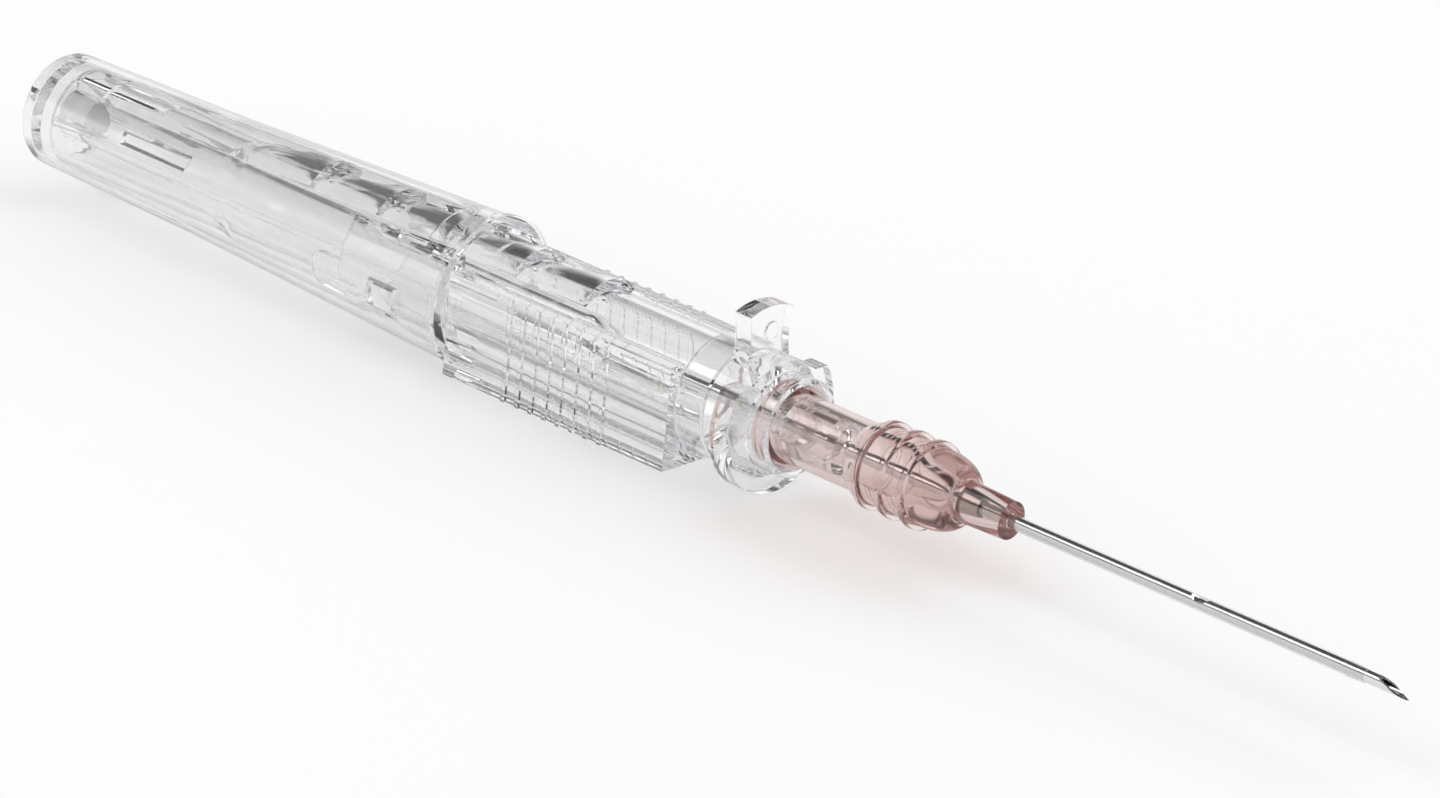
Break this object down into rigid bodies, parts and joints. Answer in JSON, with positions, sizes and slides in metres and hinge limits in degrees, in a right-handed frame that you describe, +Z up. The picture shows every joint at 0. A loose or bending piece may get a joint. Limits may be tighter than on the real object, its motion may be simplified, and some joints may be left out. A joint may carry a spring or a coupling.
{
  "type": "safety iv cannula",
  "caption": "Over-the-needle iv cannula with luer hub and steel needle on a sliding clear needle guard with push tab, ribbed grip housing and clear rear barrel.",
  "frame": {"origin": "middle of the whole length, on the surface that the cannula lies on", "axes": "+X along the needle towards its tip, +Z up through the push tab, +Y to the left"},
  "size_m": [0.1346, 0.0122, 0.0144],
  "materials": {
    "clear_barrel": "clear moulded polycarbonate, polished",
    "clear_grip": "clear moulded polycarbonate, polished",
    "clear_guard": "clear moulded polycarbonate, polished",
    "clear_core": "clear moulded polycarbonate, polished",
    "vent_filter": "white porous sintered polyethylene",
    "needle_steel": "drawn stainless steel, bright",
    "pink_hub": "translucent pink moulded polypropylene",
    "catheter_film": "clear extruded fluoropolymer tube"
  },
  "bodies": {
    "holder": {"rear_barrel": "clear_barrel", "grip_housing": "clear_grip", "needle_hub": "clear_core", "vent_plug": "vent_filter", "needle": "needle_steel"},
    "guard": {"guard_tube": "clear_guard", "guard_nose": "clear_guard"},
    "catheter": {"catheter_hub": "pink_hub", "catheter_tube": "catheter_film", "hub_ferrule": "needle_steel"}
  },
  "joints": [
    {"name": "guard_slide", "type": "slide", "parent": "holder", "child": "guard", "axis": [1, 0, 0], "range_m": [0, 0.058]},
    {"name": "catheter_slide", "type": "slide", "parent": "guard", "child": "catheter", "axis": [1, 0, 0], "range_m": [0, 0.06]}
  ]
}
